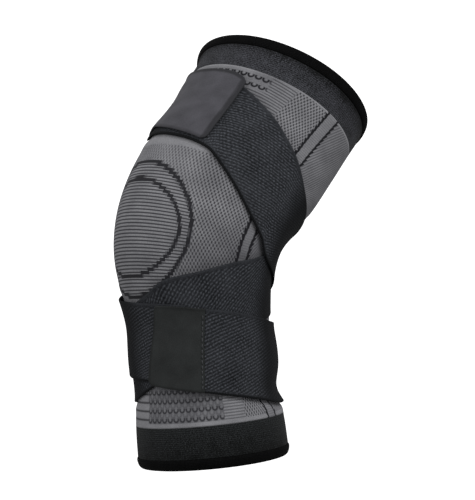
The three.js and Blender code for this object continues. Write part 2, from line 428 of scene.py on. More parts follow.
def grid_object(
    name: str, points: Array, uv: Array, around: bool, extra: dict[str, Array]
) -> Object:
    """Makes a closed piece from a grid of points whose columns close on themselves.

    Args:
        name: The piece's name.
        points: Rows by columns by 3, in millimetres.
        uv: One more row and one more column than the corners need, for seams, by 2.
        around: Whether the rows close on themselves too. Otherwise both ends are capped.
        extra: Values for each point, by attribute name.

    Returns:
        The object, in the scene.
    """
    rows, columns = points.shape[:2]
    spans = rows if around else rows - 1
    i = np.repeat(np.arange(spans), columns)
    j = np.tile(np.arange(columns), spans)
    near, far = i, (i + 1) % rows
    here, there = j, (j + 1) % columns
    quads = np.stack(
        [near * columns + here, far * columns + here, far * columns + there, near * columns + there], -1
    )
    corner_uv = np.stack([uv[i, j], uv[i + 1, j], uv[i + 1, j + 1], uv[i, j + 1]], 1)
    faces = quads.tolist()
    mapped = corner_uv.reshape(-1, 2)
    if not around:
        half = columns // 2
        for row, flip in ((0, False), (rows - 1, True)):
            for k in range(half - 1):
                m = columns - 1 - k
                ring = [k, k + 1, m - 1, m]
                ring = ring[::-1] if flip else ring
                faces.append([row * columns + c for c in ring])
                mapped = np.vstack([mapped, uv[row, ring]])
    piece = mesh_object(name, points.reshape(-1, 3), faces, mapped)
    for key, values in extra.items():
        piece.data.attributes.new(key, "FLOAT", "POINT").data.foreach_set("value", values.ravel())
    return piece


def add_node(
    tree: bpy.types.NodeTree, kind: str, inputs: dict | None = None, **settings: object
) -> bpy.types.Node:
    """Adds a node with its settings, values and links.

    Args:
        tree: The material's or the world's node tree.
        kind: The node's type, without ShaderNode before it.
        inputs: Value or socket for each input, by name or number.
        settings: Properties of the node.

    Returns:
        The node.
    """
    node = tree.nodes.new(f"ShaderNode{kind}")
    for key, value in settings.items():
        setattr(node, key, value)
    for key, value in (inputs or {}).items():
        if isinstance(value, Term):
            value = value.socket
        if isinstance(value, Socket):
            tree.links.new(value, node.inputs[key])
        else:
            node.inputs[key].default_value = value
    return node


class Term:
    """A number that a material works out at each point, to write patterns as plain sums."""

    def __init__(self, socket: Socket) -> None:
        """Keeps the socket that gives the number."""
        self.socket = socket

    def apply(self, operation: str, *others: "Term | float", clamp: bool = False) -> "Term":
        """Works out one operation on this number.

        Args:
            operation: The Math node's operation.
            others: The operation's further numbers.
            clamp: Whether the result is kept from 0 to 1.

        Returns:
            The result.
        """
        inputs = dict(enumerate((self, *others)))
        node = add_node(self.socket.id_data, "Math", inputs, operation=operation, use_clamp=clamp)
        return Term(node.outputs[0])

    __add__ = partialmethod(apply, "ADD")
    __sub__ = partialmethod(apply, "SUBTRACT")
    __mul__ = partialmethod(apply, "MULTIPLY")
    # The number without its sign, the greater of two, and the number times gain plus offset.
    size = partialmethod(apply, "ABSOLUTE")
    most = partialmethod(apply, "MAXIMUM")
    scaled = partialmethod(apply, "MULTIPLY_ADD")

    def kept(self, gain: float = 1.0, offset: float = 0.0) -> "Term":
        """This number times gain, plus offset, kept from 0 to 1."""
        return self.apply("MULTIPLY_ADD", gain, offset, clamp=True)

    def zigzag(self, gain: float = 2.0, offset: float = 0.0) -> "Term":
        """Goes up and down once for each whole number, then is scaled, shifted and kept in 0 to 1."""
        return self.apply("PINGPONG", 0.5).kept(gain, offset)

    def above(self, edge: float, blur: float) -> "Term":
        """1 over edge and 0 under it, with a soft change blur wide."""
        return self.kept(1 / blur, 0.5 - edge / blur)

    def below(self, edge: float, blur: float) -> "Term":
        """1 under edge and 0 over it, with a soft change blur wide."""
        return self.kept(-1 / blur, 0.5 + edge / blur)

    def blend(self, low: "Term | float", high: "Term | float") -> "Term":
        """Goes from low, where this is 0, to high, where this is 1."""
        node = add_node(self.socket.id_data, "Mix", {0: self, 2: low, 3: high})
        return Term(node.outputs[0])


class Dyer:
    """Starts a cloth material and finishes it from a lightness and a height pattern."""

    def __init__(self, name: str) -> None:
        """Starts a material with nothing but the cloth coordinates to draw on.

        Args:
            name: The real finish that it stands for.
        """
        self.material = bpy.data.materials.new(name)
        self.material.use_nodes = True
        self.tree = self.material.node_tree
        self.tree.nodes.clear()
        where = add_node(self.tree, "UVMap", uv_map="cloth")
        self.where = where.outputs[0]
        parts = add_node(self.tree, "SeparateXYZ", {0: self.where})
        self.first = Term(parts.outputs[0])
        self.second = Term(parts.outputs[1])

    def two_tone(self, finish: object, light: Term, height: Term) -> Material:
        """Finishes a cloth whose colour goes from its finish's dark to its light."""
        return self.finish([(0.0, finish.dark), (1.0, finish.light)], light, height, finish.feel)

    def attribute(self, name: str) -> Term:
        """The value that the mesh keeps under that name."""
        node = add_node(self.tree, "Attribute", attribute_name=name)
        return Term(node.outputs["Fac"])

    def speckle(self, across: float, along: float, detail: float = 1.0) -> Term:
        """An uneven value from 0 to 1 in flecks of a given size.

        Args:
            across: Size of a fleck in the first coordinate.
            along: Size of a fleck in the second coordinate.
            detail: How much finer unevenness it has.

        Returns:
            The value, about 0.5 on the whole.
        """
        scale = (1 / across, 1 / along, 1.0)
        at = add_node(self.tree, "VectorMath", {0: self.where, 1: scale}, operation="MULTIPLY")
        inputs = {"Vector": at.outputs[0], "Scale": 1.0, "Detail": detail}
        node = add_node(self.tree, "TexNoise", inputs, noise_dimensions="2D")
        return Term(node.outputs[0])

    def finish(
        self, colours: list[tuple[float, str]], light: Term, height: Term, feel: "Feel"
    ) -> Material:
        """Joins the patterns to the shader.

        Args:
            colours: Places of the colour ramp and their sRGB hex values.
            light: Where on the ramp each point is.
            height: Relief from 0 to 1.
            feel: Roughness, sheen and depth of the relief.

        Returns:
            The material.
        """
        ramp = add_node(self.tree, "ValToRGB", {0: light})
        while len(ramp.color_ramp.elements) < len(colours):
            ramp.color_ramp.elements.new(0.5)
        for element, (place, colour) in zip(ramp.color_ramp.elements, colours):
            element.position = place
            element.color = linear(colour)
        rough = height.blend(feel.rough_low, feel.rough_high)
        bump_inputs = {"Strength": 1.0, "Distance": feel.depth * MM, "Height": height}
        bump = add_node(self.tree, "Bump", bump_inputs)
        inputs = {
            "Base Color": ramp.outputs[0],
            "Roughness": rough,
            "IOR": feel.ior,
            "Specular IOR Level": feel.specular,
            "Sheen Weight": feel.sheen,
            "Sheen Roughness": 0.5,
            "Normal": bump.outputs[0],
        }
        shader = add_node(self.tree, "BsdfPrincipled", inputs)
        add_node(self.tree, "OutputMaterial", {0: shader.outputs[0]})
        return self.material


@dataclass(frozen=True)
class Feel:
    """How a cloth takes the light: its roughness, sheen and the depth of its relief in mm."""

    rough_low: float = 0.95
    rough_high: float = 0.8
    sheen: float = 0.03
    depth: float = 0.3
    specular: float = 0.18
    ior: float = 1.5


@dataclass(frozen=True)
class PatternedKnit:
    """Nylon and elastane jacquard knit in two greys, drawn as zones of stitches round the knee.

    To the eye: dull, fine-grained and soft, light yarn with dark stitches in a chequer, ribs over
    the kneecap inside two dark rings, and a striped channel down each side.
    """

    centre: float = PATTERN_CENTRE
    kneecap_centre: float = 4.0
    dark: str = "1d1d21"
    middle: str = "66666a"
    light: str = "98989c"
    feel: Feel = field(default_factory=Feel)

    def material(self) -> Material:
        """Makes the material.

        Returns:
            It, for coordinates that are turn in degrees and s in millimetres.
        """
        dye = Dyer("grey_jacquard_knit")
        s = dye.second
        turn = dye.first
        aside = (turn - self.centre).size()
        wrong_side = dye.attribute("inner")
        # Two families of slanting lines, with a dark stitch at each crossing.
        far = s.size()
        bow = s * far * 0.00025
        leaning = (aside * (far * -0.0005 + 0.45) + s * 0.3125 + far * 0.0225 - bow).apply("PINGPONG", 0.5)
        rising = (aside * (far * -0.0007 + 0.51) - s * 0.287 + bow).apply("PINGPONG", 0.5)
        chequer = (leaning + rising).kept(3.6, -1.6)
        dark = chequer * aside.scaled(0.009, 0.48).apply("MINIMUM", 0.84)
        # Behind the channel the stitches are plain and small.
        centre_line = self.channel_line(s)
        beside = (aside - centre_line) * KNIT_DEGREE
        plain = rising.kept(1.3, -0.06)
        dark = beside.above(5.4, 0.6).blend(dark, plain)
        dark = self.front_bands(dark, aside, turn, s)
        dark = self.kneecap(dark, (turn - self.kneecap_centre).size(), s)
        dark = self.channel(dark, beside, s)
        dark = wrong_side.blend(dark, (s * 0.57).zigzag(1.2, 0.1))
        fleck = dye.speckle(0.9, 0.8).kept(2.4, -0.7)
        cloud = dye.speckle(16.0, 12.0, 2.0).scaled(0.5, 0.75)
        light = (fleck * 0.2 + 0.8) * dark.scaled(-0.88, 0.93) * cloud
        light = light * dye.attribute("shade")
        stitches = (aside * 0.93).zigzag(1.0) + (s * 1.15 + leaning).zigzag(1.0)
        height = light * 0.7 + stitches * 0.15
        ramp = [(0.0, self.dark), (0.45, self.middle), (1.0, self.light)]
        return dye.finish(ramp, light, height, self.feel)

    def channel_line(self, s: Term) -> Term:
        """The way of the striped channel, a soft bend.

        Args:
            s: Place along the leg.

        Returns:
            Degrees from the pattern's centre to the channel's middle.
        """
        x = s + 10.0
        bow = (x * x + 225.0).apply("SQRT")
        return bow * 0.245 - x * 0.075 + (82.0 - self.centre - 0.245 * 15.0)

    def channel(self, dark: Term, beside: Term, s: Term) -> Term:
        """Two notched dark lines with small cross ribs between them.

        Args:
            dark: The pattern so far.
            beside: Distance from the channel's middle line.
            s: Distance along the leg.

        Returns:
            The pattern with the channel.
        """
        off = beside.size()
        cross = (s * 0.6).zigzag(1.9, -0.1) * 0.34
        spread = s.size().scaled(0.016, 3.4)
        dark = (off - spread).below(0.0, 0.5).blend(dark, cross)
        notch = (s * 0.25).apply("FRACT")
        reach = notch * 0.5 + 0.8
        line = (off - spread - notch * 0.9 + 0.4).size()
        ink = (reach - line).kept(2.0, 0.5)
        return dark.most(ink * 1.05)

    def kneecap(self, dark: Term, aside: Term, s: Term) -> Term:
        """Ribs inside two dark rings that go in steps of one rib.

        Args:
            dark: The pattern so far.
            aside: Degrees from the middle of the kneecap.
            s: Distance along the leg.

        Returns:
            The pattern with the kneecap's rings.
        """
        pitch = 1.76
        course = s.apply("SNAP", pitch) + (pitch / 2 - 1.1)
        step = aside.apply("SNAP", 1.2)
        ribs = (s * (1 / pitch)).zigzag(3.6, -0.62) * 0.95
        for s_radius, turn_radius in ((35.3, 44.3), (25.3, 37.6)):
            up = course * (1 / s_radius)
            side = step * (1 / turn_radius)
            radius = (up * up + side * side).apply("SQRT")
            if s_radius > 30:
                dark = radius.below(1.0, 0.02).blend(dark, ribs)
            # The rings are thinner at the sides of the kneecap than over and under it.
            thick = up * up * 0.45 + 1.2
            ring = ((radius - 1.0) * turn_radius).size() - thick
            dark = dark.most(ring.below(0.0, 0.6))
        return dark

    def front_bands(self, dark: Term, aside: Term, turn: Term, s: Term) -> Term:
        """Plain bands, cuff-wise lines and rows of small cups over and under the knee.

        Args:
            dark: The pattern so far.
            aside: Degrees from the pattern's centre.
            turn: Angle round the leg.
            s: Distance along the leg.

        Returns:
            The pattern with these bands.
        """
        lines = (s * 0.492 + aside * 0.037).zigzag(3.6, -0.6) * 0.72
        ridge = s.scaled(0.225, 32.2)
        upper = s.above(80.0, 1.0) * (aside - ridge).below(0.0, 1.2)
        dark = upper.blend(dark, lines)
        cups = self.cups(turn, s, 4.9, 6.3, 99.7, (0.95, 0.12))
        cup_zone = s.above(99.7, 0.4) * aside.below(40.0, 2.0)
        dark = cup_zone.blend(dark, cups)
        low_lines = (s * 0.5).zigzag(3.2, -0.5) * 0.6
        lower = s.below(-70.0, 1.0)
        dark = (lower * aside.below(72.0, 1.5)).blend(dark, low_lines)
        low_cups = self.cups(turn, s, 5.1, 6.3, -114.1, (0.58, 0.34))
        low_cups = low_cups + self.cups(turn + 2.55, s, 5.1, 6.3, -111.0, (0.22, 0.0))
        dark = (lower * aside.below(55.2, 1.5)).blend(dark, low_cups)
        thin = ((s + 116.5) * (1 / 5.8)).zigzag(-5.0, 1.0)
        shin = lower * (turn + 22.5).size().below(25.5, 2.0)
        dark = shin.blend(dark, thin)
        knee_top = (turn - 18.0).size().below(40.0, 3.0)
        plain = (s - 50.2).size().below(3.4, 0.5) * knee_top
        hem = (s - 113.3).size().below(0.9, 0.4)
        foot = (s + 115.4).size().below(1.9, 0.5)
        bare = plain.most(hem).most(foot)
        return bare.blend(dark, -0.12)

    def cups(
        self, across: Term, s: Term, width: float, drop: float, foot: float, ink: Pair
    ) -> Term:
        """Rows of small open cups, dark lines on light.

        Args:
            across: Degrees round the leg.
            s: Distance along the leg.
            width: Degrees from cup to cup.
            drop: Distance from row to row.
            foot: Where the lowest row starts.
            ink: How dark the cups are over their ground, and the ground itself.

        Returns:
            Darkness of the rows.
        """
        up = ((s - foot) * (1 / drop)).apply("FRACT") - 0.55
        side = (across * (1 / width)).apply("PINGPONG", 0.5)
        up_mm = up * drop
        side_mm = side * width
        radius = (up_mm * up_mm + side_mm * side_mm).apply("SQRT")
        rim = (radius - 1.75).size().below(0.65, 0.7)
        return rim * up.below(0.12, 0.1) * ink[0] + ink[1]


@dataclass(frozen=True)
class CuffKnit:
    """Plain elastane rib knit of a cuff, charcoal, its courses parallel to the rim.

    To the eye: dull and close, fine lines along the rim with small light flecks. fade is where it
    starts to go black on its way to the rim, and where it is black; this black is partly dark rows
    by the welt and partly painted shade, which reaches further away from the front.
    """

    name: str
    dark: str
    light: str
    pitch: float = 1.4
    fleck_share: float = 0.5
    fade: Pair | None = None
    feel: Feel = field(default_factory=Feel)

    def material(self) -> Material:
        """Makes the material.

        Returns:
            It, for coordinates that are turn in degrees and s in millimetres.
        """
        dye = Dyer(self.name)
        turn, s = dye.first, dye.second
        course = (s * (1 / self.pitch)).zigzag(2.0)
        wale = (turn * 0.9 + s * 0.12).zigzag(1.6, 0.1)
        fleck = dye.speckle(1.2, 0.5).kept(3.6, -1.35)
        cloud = dye.speckle(9.0, 7.0, 2.0)
        tone = course * 0.25 + wale * 0.15 + fleck * self.fleck_share
        light = (tone + cloud * 0.4 - 0.3).kept()
        # Going black towards the rim, sooner away from the front: partly dark rows by the welt, partly
        # painted shade.
        if self.fade:
            start, end = self.fade
            gain = 1 / (end - start)
            wider = (turn - PATTERN_CENTRE).size() * 0.03 * math.copysign(1.0, gain)
            black = (s + wider).scaled(gain, -start * gain)
            black = black + (fleck - 0.5) * -0.9 + (cloud - 0.5) * 1.6
            light = light * black.kept(-0.92, 1.0)
        height = course * 0.6 + wale * 0.4
        return dye.two_tone(self, light, height)


@dataclass(frozen=True)
class TwillElastic:
    """Woven elastic webbing in charcoal, with a slanting rib between two smooth selvedges.

    To the eye: a dull dark band with short lighter dashes in slanting rows, closer and flatter
    along both edges.
    """

    name: str = "charcoal_woven_elastic"
    dark: str = "121315"
    light: str = "65686f"
    selvedge: float = 2.4
    feel: Feel = field(default_factory=lambda: Feel(0.92, 0.78, 0.01, 0.22, 0.12))

    def material(self) -> Material:
        """Makes the material.

        Returns:
            It, for coordinates that are mm along a slanting rib and ribs across.
        """
        dye = Dyer(self.name)
        rib = dye.second
        edge = dye.attribute("edge")
        row = rib.apply("FLOOR")
        dash = (dye.first * (1 / 2.6) + row * 0.382).zigzag(3.0, -0.3)
        ridge = rib.zigzag(2.4, -0.3)
        fleck = dye.speckle(1.5, 0.5, 2.0).kept(3.6, -1.3)
        weave = (ridge * 0.72 + 0.14) * (dash * 0.4 + 0.6) * (fleck * 0.85 + 0.25)
        cord = (edge * (1 / 1.1)).zigzag(0.6, 0.2) * (fleck * 0.6 + 0.3)
        inside = edge.above(self.selvedge, 1.2)
        cloud = dye.speckle(14.0, 9.0, 2.0)
        tone = inside.blend(cord * 0.55 + 0.05, weave + 0.04)
        # Both edges darken in their outermost millimetre: partly the dark edge yarn, partly painted shadow
        # where the strap stands off the knit.
        tone = (tone + (cloud - 0.5) * 0.22) * edge.above(0.5, 1.0).scaled(0.7, 0.3)
        # A notched black line along the low edge: partly the dark binding, partly painted shadow under the
        # strap's edge.
        notch = (dye.first * (1 / 1.9)).zigzag(0.9)
        low_edge_binding_and_shadow = (dye.attribute("from_low") - notch).above(1.3, 0.5)
        # A light line along the high edge: painted highlight.
        rim = dye.attribute("from_high").below(1.1, 0.6)
        # The elastic is darkened away from the seen side: painted shade on the strap's sides and back.
        tone = (tone + rim * 0.1) * low_edge_binding_and_shadow * dye.attribute("painted_shade_factor").scaled(0.88, 0.12)
        light = tone.kept()
        height = inside.blend(cord * 0.5 + 0.2, weave)
        return dye.two_tone(self, light, height)


@dataclass(frozen=True)
class BrushedTab:
    """Brushed nylon loop fabric laminated to hook tape, on a fastening tab.

    To the eye: smooth, almost without weave, faintly clouded, with a darker pressed border.
    """

    name: str
    dark: str
    light: str
    top_border: float = 0.0
    feel: Feel = field(default_factory=lambda: Feel(0.85, 0.72, 0.06, 0.12, 0.25))

    def material(self) -> Material:
        """Makes the material.

        Returns:
            It, for coordinates that are mm along a slanting rib and ribs across.
        """
        dye = Dyer(self.name)
        edge = dye.attribute("edge")
        cloud = dye.speckle(12.0, 5.0, 2.5)
        nap = dye.speckle(0.8, 0.4, 2.0)
        border = edge.below(1.6, 1.4)
        end = dye.attribute("from_end").below(3.2, 1.2)
        top = dye.attribute("from_high").below(2.8, 1.2).most(end) * self.top_border
        tone = cloud * 0.55 + nap * 0.35 - border * 0.3 - top + 0.05
        light = tone.kept()
        height = nap * 0.7 + cloud * 0.3
        return dye.two_tone(self, light, height)


@dataclass(frozen=True)
class SewingThread:
    """Bonded polyester thread, charcoal: small, smooth and a little brighter than the cloth."""

    name: str = "charcoal_polyester_thread"
    dark: str = "17181a"
    light: str = "4c4e52"
    feel: Feel = field(default_factory=lambda: Feel(0.6, 0.45, 0.0, 0.05, 0.5))

    def material(self) -> Material:
        """Makes the material.

        Returns:
            It, with the twist of the ply as fine slanting light lines.
        """
        dye = Dyer(self.name)
        twist = (dye.first * 2.2 + dye.second * 2.2).zigzag(2.0)
        return dye.two_tone(self, twist, twist)


@dataclass
class Piece:
    """A visible piece of cloth that stands for a node of the frame."""

    leg: LegForm
    node: str
    slot: str
    material: Material

    def settle(self, piece: Object) -> Object:
        """Gives a piece its material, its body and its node.

        Args:
            piece: The object.

        Returns:
            The same object.
        """
        piece.data.materials.append(self.material)
        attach(piece, BODY)
        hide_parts(self.node)
        log.info("%s stands for %s, %d faces", piece.name, self.node, len(piece.data.polygons))
        return piece


@dataclass
class KnitTube(Piece):
    """A knitted band round the whole leg, with its inner face, as one closed piece."""

    low: float
    high: float
    flat: Pair
    rows: int
    wall: float = 2.2
    columns: int = 320

    def cut(self) -> tuple[Array, Array]:
        """The outline of the band's cut.

        Returns:
            Places along the leg, and heights over the knit's face.
        """
        outer = np.linspace(self.low, self.high, self.rows)
        inner = np.linspace(self.high, self.low, max(self.rows // 5, 6))
        out = np.concatenate([np.zeros(len(outer)), np.full(len(inner), -self.wall)])
        return np.concatenate([outer, inner]), out

    def build(self, rests_on: list[str]) -> Object:
        """Takes the cut once round the leg, and dresses the band.

        Args:
            rests_on: Names of the nodes that the cloth is held by. Not used.

        Returns:
            The piece.
        """
        s, out = self.cut()
        turns = PATTERN_CENTRE - 180.0 + np.arange(self.columns + 1) * 360.0 / self.columns
        grid_turn, grid_s = np.meshgrid(turns[:-1], s, indexing="ij")
        relief = knit_relief(self.leg, grid_s, grid_turn)
        points = self.leg.point(grid_s, grid_turn, out[None, :] + relief)
        uv = np.stack(np.meshgrid(turns, np.append(s, s[0]), indexing="ij"), -1)
        is_inner = np.broadcast_to((out < -0.5 * self.wall)[None, :], grid_s.shape).astype(float)
        # Over the falling strap the outer side of the knit is in the strap's shade.
        over_strap = strap_distance(self.leg, grid_s, grid_turn, STRAP_SPANS[1:])
        near = np.exp(-((np.maximum(over_strap, 0) / 21.0) ** 2)) * soft_step(grid_s, -50, -30)
        shade = 1 - 0.36 * near * soft_step(grid_turn, 30, 55)
        extra = {"inner": is_inner, "shade": shade}
        piece = self.settle(grid_object(f"{self.node}_cloth", points, uv, True, extra))
        return piece


@dataclass
class Welt(KnitTube):
    """The thick turned edge of a cuff, with rounded corners, lower by taper at the rim."""

    wall: float = 3.0
    rise: float = 0.9
    taper: float = 0.6

    def cut(self) -> tuple[Array, Array]:
        """The outline of the welt's cut, a box with round corners.

        Returns:
            Places along the leg, and heights over the knit's face.
        """
        angle = np.linspace(0, 2 * np.pi, 41)[:-1]
        box = 3.2
        size = (np.abs(np.cos(angle)) ** box + np.abs(np.sin(angle)) ** box) ** (-1 / box)
        half = (self.high - self.low) / 2
        s = (self.low + self.high) / 2 - half * size * np.cos(angle)
        out = (self.rise - self.wall) / 2 + (self.rise + self.wall) / 2 * size * np.sin(angle)
        to_rim = (np.abs(s) - min(abs(self.low), abs(self.high))) / (2 * half)
        return s, out - self.taper * to_rim**2


@dataclass
class StrapPiece(Piece):
    """A length of strap or tab laid round the leg, with soft edges, as one closed piece."""

    path: StrapPath
    start_low: float
    start_high: float
    end_low: float
    end_high: float
    thickness: float
    flat: Pair
    held: Lie = Lie.STRETCHED
    free_end: FreeEnd = FreeEnd.NONE
    corner: float = 4.0
    step: float = 1.0
    across: int = 46
    curl: float = 0.3

    def cut(self) -> tuple[Array, Array]:
        """The outline of the strap's cut.

        Returns:
            Shares across, from the low edge to the high one, and shares through.
        """
        edge = 0.55 / self.path.width
        steps = np.linspace(0, 1, self.across)
        outer = 1.0 - steps * (1 - 2 * edge) - edge
        around = np.linspace(0, np.pi, 7)[1:-1]
        low = edge - edge * np.sin(around)
        inner = np.linspace(edge, 1 - edge, self.across // 2)
        across = np.concatenate([outer, low, inner, 1 - low[::-1]])
        through = np.concatenate(
            [np.ones(len(outer)), (1 + np.cos(around)) / 2, np.zeros(len(inner)), (1 - np.cos(around)) / 2]
        )
        return across, through

    def build(self, rests_on: list[str], with_pieces: tuple[Object, ...] = ()) -> Object:
        """Builds and dresses the strap piece.

        Args:
            rests_on: Names of what it lies on. Not used.
            with_pieces: Separate pieces on it, such as its stitches. Not used.

        Returns:
            The piece.
        """
        across, through = self.cut()
        span = abs(self.end_low - self.start_low)
        count = int(span / self.step)
        share = np.linspace(0, 1, count)
        corner_share = math.degrees(2 * self.corner / KNEE_DEPTH) / span
        if self.free_end is not FreeEnd.NONE:
            bow = corner_share * (1 - np.cos(np.linspace(0, np.pi / 2, 10)[:-1]))
            share = np.concatenate([bow, np.linspace(corner_share, 1, count)])
            share = share if self.free_end is FreeEnd.START else 1 - share[::-1]
        row_share, wide = np.meshgrid(share, across, indexing="ij")
        start = self.start_low + (self.start_high - self.start_low) * wide
        end = self.end_low + (self.end_high - self.end_low) * wide
        turn = start + (end - start) * row_share
        from_free = np.full_like(turn, 99.0)
        if self.free_end is FreeEnd.START:
            from_free = row_share / corner_share
        if self.free_end is FreeEnd.END:
            from_free = (1 - row_share) / corner_share
        short = np.clip(1 - from_free, 0, 1)
        inset = self.corner * (1 - np.sqrt(1 - short**2)) * 0.98
        height = self.path.height(turn) - 2 * inset
        aside = (wide - 0.5) * height
        s = self.path.middle(self.leg, turn) + aside
        slope = self.slope(turn)
        off = aside * np.cos(slope)
        edge = np.minimum(wide, 1 - wide) * height * np.cos(slope)
        to_end = from_free * self.corner
        edge = np.minimum(edge, to_end)
        lift = self.lift(turn, wide, edge)
        out = self.path.base(turn) + through[None, :] * self.thickness + lift
        points = self.leg.point(s, turn, out)
        uv = self.weave(turn, aside, slope, off)
        # Painted shade on the straps: full tone near the seen side, darkest 64 to 82 degrees from it, a
        # little lighter again at the back.
        round_off = np.abs((turn - SEEN_SIDE + 180) % 360 - 180)
        extra = {
            "edge": edge,
            "from_low": wide * height * np.cos(slope),
            "from_high": (1 - wide) * height * np.cos(slope),
            "painted_shade_factor": 1 - soft_step(round_off, 42, 64) * (1 - 0.7 * soft_step(round_off, 82, 115)),
            "from_end": to_end,
        }
        piece = self.settle(grid_object(f"{self.node}_cloth", points, uv, False, extra))
        return piece

    def slope(self, turn: Array) -> Array:
        """Angle of the strap's way to the rounds of the leg."""
        rise = self.path.middle(self.leg, turn + 1) - self.path.middle(self.leg, turn - 1)
        return np.arctan2(rise, 2 * STRAP_DEGREE)

    def lift(self, turn: Array, wide: Array, edge: Array) -> Array:
        """Height that the strap stands off its plain lie: curled edges and slow ripples.

        Args:
            turn: Angles along the strap's way, in degrees.
            wide: Shares across the strap.
            edge: Millimetres from its nearer edge.

        Returns:
            The heights, in millimetres.
        """
        curled = np.clip(1 - edge / 7.0, 0, 1) ** 2 * self.curl
        uneven = 0.6 + 0.4 * ripple(turn / 17, wide * 2, 0.7)
        return curled * uneven + 0.12 * (1 + ripple(turn / 9, wide * 4, 2.1))

    def weave(self, turn: Array, aside: Array, slope: Array, off: Array) -> Array:
        """Coordinates of the weave: mm along a slanting rib, and ribs counted across.

        Args:
            turn: Angle round the leg at each point.
            aside: Upright distance from the middle line.
            slope: Angle of the way.
            off: Distance from the middle line, square to the way.

        Returns:
            The coordinates, with one more column for the seam of the outline.
        """
        fine = np.linspace(turn.min() - 5, turn.max() + 5, 2400)
        rows = np.array(self.path.twill)
        angle = np.radians(np.interp(-fine, -rows[:, 0], rows[:, 1]))
        pitch = np.interp(-fine, -rows[:, 0], rows[:, 2])
        step = (fine[1] - fine[0]) * STRAP_DEGREE / np.cos(self.slope(fine))
        ribs = np.cumsum(-np.sin(angle) / pitch * step)
        run = np.cumsum(np.cos(angle) * step)
        moved = turn + aside * np.sin(slope) * np.cos(slope) / STRAP_DEGREE
        here_angle = np.interp(moved, fine, angle)
        here_pitch = np.interp(moved, fine, pitch)
        first = np.interp(moved, fine, run) + off * np.sin(here_angle)
        second = np.interp(moved, fine, ribs) + off * np.cos(here_angle) / here_pitch
        uv = np.stack([first, second], -1)
        return np.concatenate([uv, uv[:, :1]], 1)


@dataclass
class SeamStitches(Piece):
    """The row of lock stitches that joins the lower tab to its strap."""

    path: StrapPath
    turn_low: float
    turn_high: float
    thickness: float
    stitch: float = 2.6
    gap: float = 0.9
    thread: float = 0.42
    inset: float = 2.5
    sides: int = 8

    def build(self) -> Object:
        """Builds the stitches as short loops that sink into the tab at both ends.

        Returns:
            All of them, as one piece.
        """
        half = self.path.height(np.array(self.turn_low)) / 2 - self.inset
        starts = np.arange(-half, half - self.stitch, self.stitch + self.gap)
        loop = np.linspace(0, np.pi, 9)
        ring = np.linspace(0, 2 * np.pi, self.sides + 1)[:-1]
        rounds: list[Array] = []
        faces: list[list[int]] = []
        coordinates: list[Pair] = []
        for k, start in enumerate(starts):
            aside = start + self.stitch * (1 - np.cos(loop)) / 2
            wide = 0.5 + aside / (2 * (half + self.inset))
            turn = self.turn_low + (self.turn_high - self.turn_low) * wide
            arch = self.thread * (np.sin(loop) * 1.1 - 0.35)
            lift = self.path.base(turn) + self.thickness + 0.28 + arch
            s = self.path.middle(self.leg, turn) + aside
            line = self.leg.point(s, turn, lift)
            ahead = np.gradient(line, axis=0)
            ahead /= np.linalg.norm(ahead, axis=1, keepdims=True)
            out = self.leg.point(s, turn, lift + 1.0) - line
            side = np.cross(ahead, out)
            round_line = side[:, None] * np.cos(ring)[:, None] + out[:, None] * np.sin(ring)[:, None]
            rounds.append((line[:, None] + round_line * self.thread).reshape(-1, 3))
            coordinates += [(angle / 2, k * 3.0) for angle in ring] * len(loop)
            first = k * len(loop) * self.sides
            last = first + (len(loop) - 1) * self.sides
            beside = [(j, (j + 1) % self.sides) for j in range(self.sides)]
            for i in range(first, last, self.sides):
                faces += [[i + j, i + n, i + n + self.sides, i + j + self.sides] for j, n in beside]
            faces += [list(range(first, first + self.sides))[::-1], list(range(last, last + self.sides))]
        corner_uv = np.array(coordinates)[np.concatenate(faces)]
        return self.settle(mesh_object("lower_tab_stitches", np.concatenate(rounds), faces, corner_uv))


@dataclass
class Sleeve:
    """The knitted tube with its cuffs and welts."""

    leg: LegForm

    def build(self) -> None:
        """Builds and dresses the five knitted bands."""
        grey = PatternedKnit().material()
        charcoal = CuffKnit("charcoal_rib_knit", "0c0d0e", "5c5d64", fade=(126.0, 132.5)).material()
        # The lower cuff takes a darker copy of the charcoal cuff knit as painted shade for the lower end, and
        # its fade to black towards the rim is painted shade too.
        lower = CuffKnit("charcoal_rib_knit_painted_shade", "040505", "3c3f41", fade=(-120.0, -141.0)).material()
        matt = Feel(0.95, 0.85, 0.0, 0.25, 0.08)
        black = CuffKnit("black_rib_welt", "020202", "111112", 1.1, 0.6, feel=matt).material()
        bands = (
            KnitTube(self.leg, "sleeve_body", "grey_knit", grey, -116.49, 113.49, (0.31, 0.22), 236),
            KnitTube(self.leg, "top_cuff", "charcoal_knit", charcoal, 113.51, 131.49, (0.34, 0.0175), 26),
            KnitTube(self.leg, "bottom_cuff", "charcoal_knit", lower, -138.49, -116.51, (0.28, 0.0215), 30),
            Welt(self.leg, "top_welt", "black_knit", black, 131.51, 139.8, (0.34, 0.014), 20),
            Welt(self.leg, "bottom_welt", "black_knit", black, -146.0, -138.51, (0.28, 0.014), 20, taper=2.0),
        )
        cuffs, body = ["top_cuff", "bottom_cuff"], ["sleeve_body"]
        for band, rests_on in zip(bands, (cuffs, body, body, cuffs[:1], cuffs[1:])):
            band.build(rests_on)


